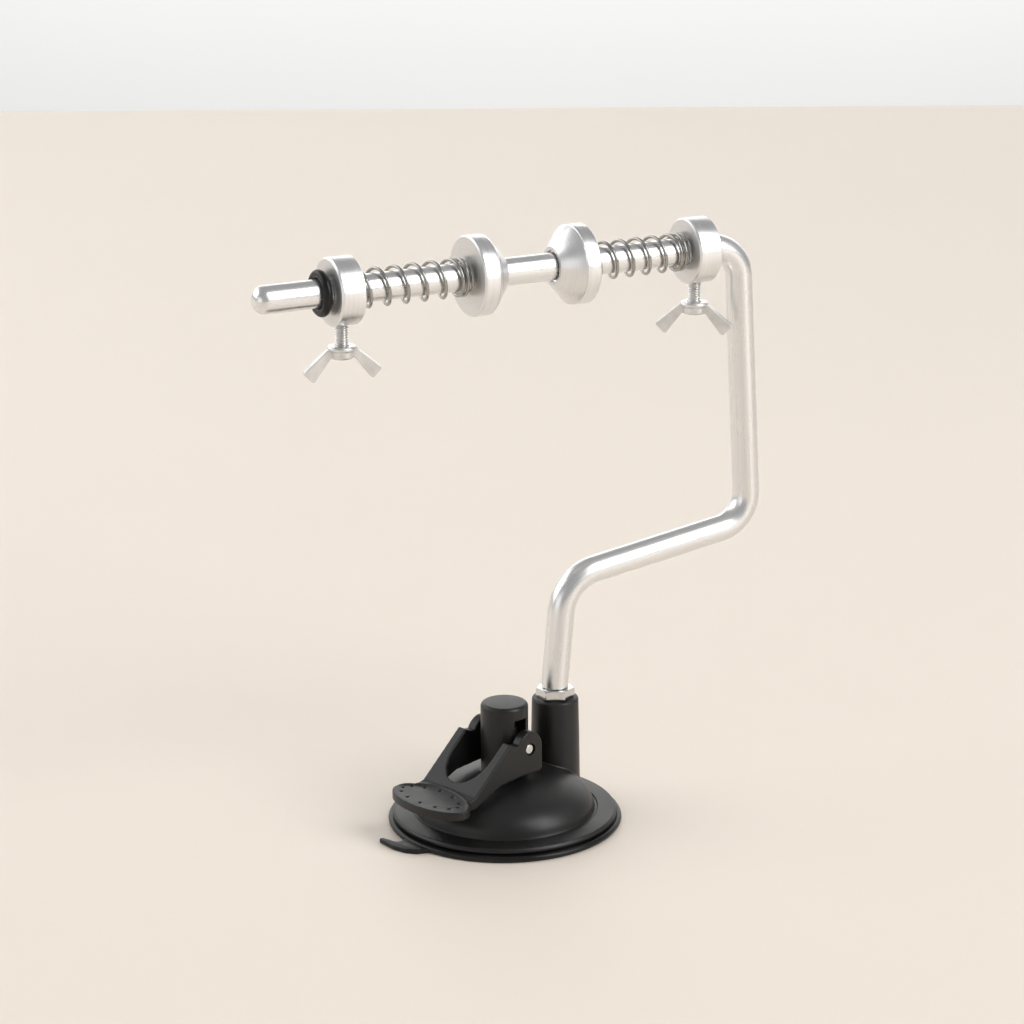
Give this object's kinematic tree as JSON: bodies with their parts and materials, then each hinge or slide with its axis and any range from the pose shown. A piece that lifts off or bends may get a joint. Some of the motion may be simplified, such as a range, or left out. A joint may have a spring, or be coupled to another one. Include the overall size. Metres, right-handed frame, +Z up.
{
  "type": "fishing line winder",
  "caption": "Line winder: a lever-locked suction cup holds a bent rod whose level end is an axle with two sprung cones that grip a spool, set by collars with wing screws",
  "frame": {"origin": "centre of the suction cup, on the table", "axes": "+Z up; the axle runs along X and its free end points to -X; the cup's lever and post lie on a line turned 16.6 degrees from the axle"},
  "size_m": [0.1627, 0.0686, 0.174],
  "materials": {
    "suction_pad": "smooth, slightly shiny black rubber",
    "housing": "fine satin black moulded plastic",
    "threaded_insert": "turned brass",
    "pull_stem": "smooth moulded plastic",
    "pivot_pin": "bright steel, chamfered ends",
    "lever": "fine satin black moulded plastic",
    "bent_rod": "bright polished metal with faint streaks along it",
    "jam_nut": "bright plated steel, chamfered corners",
    "retaining_ring": "smooth black rubber",
    "left_spring": "bright spring wire",
    "right_spring": "bright spring wire",
    "left_cone": "turned, fine rings, bright chamfers",
    "right_cone": "turned, fine rings, bright chamfers",
    "left_collar": "turned, fine rings, bright chamfers",
    "right_collar": "turned, fine rings, bright chamfers",
    "left_screw_stud": "bright plated thread",
    "right_screw_stud": "bright plated thread",
    "left_wing_head": "cast and plated, soft edges",
    "right_wing_head": "cast and plated, soft edges"
  },
  "bodies": {
    "base": {"housing": "housing", "suction_pad": "suction_pad", "threaded_insert": "threaded_insert"},
    "stem": {"pull_stem": "pull_stem", "pivot_pin": "pivot_pin"},
    "lever": {"lever": "lever"},
    "rod": {"bent_rod": "bent_rod"},
    "nut": {"jam_nut": "jam_nut"},
    "left_clamp": {"left_collar": "left_collar", "retaining_ring": "retaining_ring"},
    "right_clamp": {"right_collar": "right_collar"},
    "left_push": {"left_spring": "left_spring"},
    "right_push": {"right_spring": "right_spring"},
    "left_cone": {"left_cone": "left_cone"},
    "right_cone": {"right_cone": "right_cone"},
    "left_stud": {"left_screw_stud": "left_screw_stud"},
    "right_stud": {"right_screw_stud": "right_screw_stud"},
    "left_wing": {"left_wing_head": "left_wing_head"},
    "right_wing": {"right_wing_head": "right_wing_head"}
  },
  "joints": [
    {"name": "lever_flip", "type": "hinge", "parent": "stem", "child": "lever", "pos_m": [0, 0, 0.0244], "axis": [-0.2857, 0.9583, 0], "range_deg": [0, 95]},
    {"name": "stem_lift", "type": "slide", "parent": "base", "child": "stem", "axis": [0, 0, 1], "range_m": [-0.0021, 0], "deforming": ["suction_pad"]},
    {"name": "rod_swivel", "type": "hinge", "parent": "base", "child": "rod", "pos_m": [0.02022, 0.00603, 0.0326], "axis": [0, 0, 1], "range_deg": [-180, 180]},
    {"name": "nut_turn", "type": "hinge", "parent": "rod", "child": "nut", "pos_m": [0.02022, 0.00603, 0.03415], "axis": [0, 0, 1], "range_deg": [0, 180]},
    {"name": "left_collar_slide", "type": "slide", "parent": "rod", "child": "left_clamp", "axis": [1, 0, 0], "range_m": [-0.015, 0.007]},
    {"name": "right_collar_slide", "type": "slide", "parent": "rod", "child": "right_clamp", "axis": [1, 0, 0], "range_m": [-0.007, 0]},
    {"name": "left_cone_push", "type": "slide", "parent": "left_clamp", "child": "left_push", "axis": [1, 0, 0], "range_m": [-0.022, 0], "stiffness_N_per_m": 1400, "deforming": ["left_spring"]},
    {"name": "right_cone_push", "type": "slide", "parent": "right_clamp", "child": "right_push", "axis": [1, 0, 0], "range_m": [0, 0.02], "stiffness_N_per_m": 1400, "deforming": ["right_spring"]},
    {"name": "left_cone_spin", "type": "hinge", "parent": "left_push", "child": "left_cone", "pos_m": [-0.003, 0.00603, 0.1625], "axis": [1, 0, 0], "continuous": true},
    {"name": "right_cone_spin", "type": "hinge", "parent": "right_push", "child": "right_cone", "pos_m": [0.025, 0.00603, 0.1625], "axis": [1, 0, 0], "continuous": true},
    {"name": "left_screw_travel", "type": "slide", "parent": "left_clamp", "child": "left_stud", "axis": [0, 0, 1], "range_m": [-0.0014, 0]},
    {"name": "left_wing_turn", "type": "hinge", "parent": "left_stud", "child": "left_wing", "pos_m": [-0.04663, 0.00603, 0.145], "axis": [0, 0, 1], "range_deg": [-720, 0]},
    {"name": "right_screw_travel", "type": "slide", "parent": "right_clamp", "child": "right_stud", "axis": [0, 0, 1], "range_m": [-0.0014, 0]},
    {"name": "right_wing_turn", "type": "hinge", "parent": "right_stud", "child": "right_wing", "pos_m": [0.06687, 0.00603, 0.145], "axis": [0, 0, 1], "range_deg": [-720, 0]}
  ],
  "couplings": [
    {"joint": "lever_flip", "follows": "stem_lift", "rad_per_m": -789.55},
    {"joint": "left_wing_turn", "follows": "left_screw_travel", "rad_per_m": 8975.9},
    {"joint": "right_wing_turn", "follows": "right_screw_travel", "rad_per_m": 8975.9}
  ]
}
